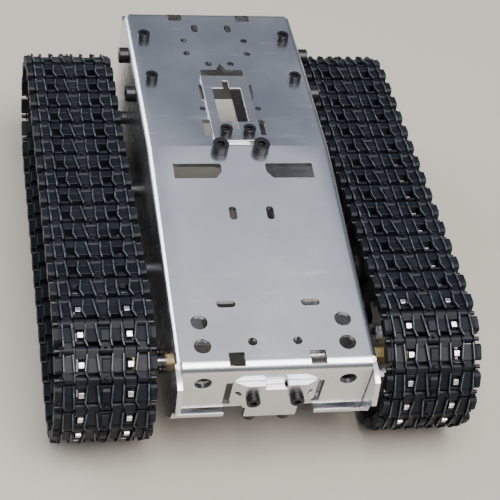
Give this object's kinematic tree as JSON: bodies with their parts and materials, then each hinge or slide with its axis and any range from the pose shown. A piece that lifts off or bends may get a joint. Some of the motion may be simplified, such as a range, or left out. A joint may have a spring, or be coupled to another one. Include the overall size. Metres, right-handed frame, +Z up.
{
  "type": "tracked robot chassis",
  "caption": "Folded aluminium hull with a sloped nose and drilled deck, carried by a loop of hinged plastic track links on each side, each driven by a geared motor and toothed sprocket.",
  "frame": {"origin": "on the ground, under the middle of the whole object", "axes": "+Z up; -Y towards the sloped nose; +X to the right when looking at the nose from in front. Left and right in node names are as seen from the front."},
  "size_m": [0.1656, 0.2194, 0.0782],
  "materials": {
    "hull_aluminium": "satin, lightly brushed",
    "bracket_aluminium": "satin",
    "tooth_aluminium": "bright, cut edges",
    "black_steel": "black oxide, semi-gloss",
    "zinc_steel": "zinc plated",
    "motor_metal": "nickel plated",
    "brass": "machined",
    "wheel_plastic": "moulded, matte",
    "track_plastic": "moulded, semi-matte"
  },
  "bodies": {
    "chassis": {"axle_bolts": "black_steel", "axle_nuts": "zinc_steel", "axle_spacers": "bracket_aluminium", "axle_washers": "zinc_steel", "bracket_lower_screws": "black_steel", "bracket_nuts": "zinc_steel", "bracket_screws": "black_steel", "bracket_spacers": "bracket_aluminium", "deck_bolts": "black_steel", "deck_nuts": "zinc_steel", "gearbox_screws": "black_steel", "hull_shell": "hull_aluminium", "left_gearbox": "motor_metal", "left_motor": "motor_metal", "left_stiffener": "bracket_aluminium", "left_track_links": "track_plastic", "left_track_pins": "zinc_steel", "nose_bracket": "bracket_aluminium", "right_gearbox": "motor_metal", "right_motor": "motor_metal", "right_stiffener": "bracket_aluminium", "right_track_links": "track_plastic", "right_track_pins": "zinc_steel", "servo_adapter_nuts": "zinc_steel", "servo_adapter_plate": "bracket_aluminium", "servo_adapter_screws": "black_steel", "side_screws": "black_steel", "stiffener_nuts": "zinc_steel", "stiffener_screws": "black_steel"},
    "left_drive_sprocket": {"left_output_shaft": "zinc_steel", "left_hex_coupling": "brass", "left_coupling_grub_screw": "black_steel", "left_sprocket_hub": "wheel_plastic", "left_sprocket_discs": "tooth_aluminium", "left_sprocket_disc_screws": "black_steel", "left_sprocket_disc_nuts": "zinc_steel", "left_sprocket_retainer": "zinc_steel"},
    "left_front_road_wheel_body": {"left_front_road_wheel": "wheel_plastic", "left_front_road_wheel_bearings": "zinc_steel"},
    "left_rear_road_wheel_body": {"left_rear_road_wheel": "wheel_plastic", "left_rear_road_wheel_bearings": "zinc_steel"},
    "left_idler_body": {"left_idler": "wheel_plastic", "left_idler_bearings": "zinc_steel"},
    "right_drive_sprocket": {"right_output_shaft": "zinc_steel", "right_hex_coupling": "brass", "right_coupling_grub_screw": "black_steel", "right_sprocket_hub": "wheel_plastic", "right_sprocket_discs": "tooth_aluminium", "right_sprocket_disc_screws": "black_steel", "right_sprocket_disc_nuts": "zinc_steel", "right_sprocket_retainer": "zinc_steel"},
    "right_front_road_wheel_body": {"right_front_road_wheel": "wheel_plastic", "right_front_road_wheel_bearings": "zinc_steel"},
    "right_rear_road_wheel_body": {"right_rear_road_wheel": "wheel_plastic", "right_rear_road_wheel_bearings": "zinc_steel"},
    "right_idler_body": {"right_idler": "wheel_plastic", "right_idler_bearings": "zinc_steel"}
  },
  "joints": [
    {"name": "left_sprocket_turn", "type": "hinge", "parent": "chassis", "child": "left_drive_sprocket", "pos_m": [-0.0636, -0.07362, 0.03158], "axis": [1, 0, 0], "continuous": true},
    {"name": "left_front_road_wheel_turn", "type": "hinge", "parent": "chassis", "child": "left_front_road_wheel_body", "pos_m": [-0.0636, -0.01952, 0.0292], "axis": [1, 0, 0], "continuous": true},
    {"name": "left_rear_road_wheel_turn", "type": "hinge", "parent": "chassis", "child": "left_rear_road_wheel_body", "pos_m": [-0.0636, 0.03044, 0.0292], "axis": [1, 0, 0], "continuous": true},
    {"name": "left_idler_turn", "type": "hinge", "parent": "chassis", "child": "left_idler_body", "pos_m": [-0.0636, 0.0804, 0.02977], "axis": [1, 0, 0], "continuous": true},
    {"name": "right_sprocket_turn", "type": "hinge", "parent": "chassis", "child": "right_drive_sprocket", "pos_m": [0.0636, -0.07362, 0.03158], "axis": [1, 0, 0], "continuous": true},
    {"name": "right_front_road_wheel_turn", "type": "hinge", "parent": "chassis", "child": "right_front_road_wheel_body", "pos_m": [0.0636, -0.01952, 0.0292], "axis": [1, 0, 0], "continuous": true},
    {"name": "right_rear_road_wheel_turn", "type": "hinge", "parent": "chassis", "child": "right_rear_road_wheel_body", "pos_m": [0.0636, 0.03044, 0.0292], "axis": [1, 0, 0], "continuous": true},
    {"name": "right_idler_turn", "type": "hinge", "parent": "chassis", "child": "right_idler_body", "pos_m": [0.0636, 0.0804, 0.02977], "axis": [1, 0, 0], "continuous": true}
  ],
  "couplings": [
    {"joint": "left_front_road_wheel_turn", "follows": "left_sprocket_turn", "ratio": 1.2223},
    {"joint": "left_rear_road_wheel_turn", "follows": "left_sprocket_turn", "ratio": 1.2223},
    {"joint": "left_idler_turn", "follows": "left_sprocket_turn", "ratio": 1.071},
    {"joint": "right_front_road_wheel_turn", "follows": "right_sprocket_turn", "ratio": 1.2223},
    {"joint": "right_rear_road_wheel_turn", "follows": "right_sprocket_turn", "ratio": 1.2223},
    {"joint": "right_idler_turn", "follows": "right_sprocket_turn", "ratio": 1.071}
  ]
}
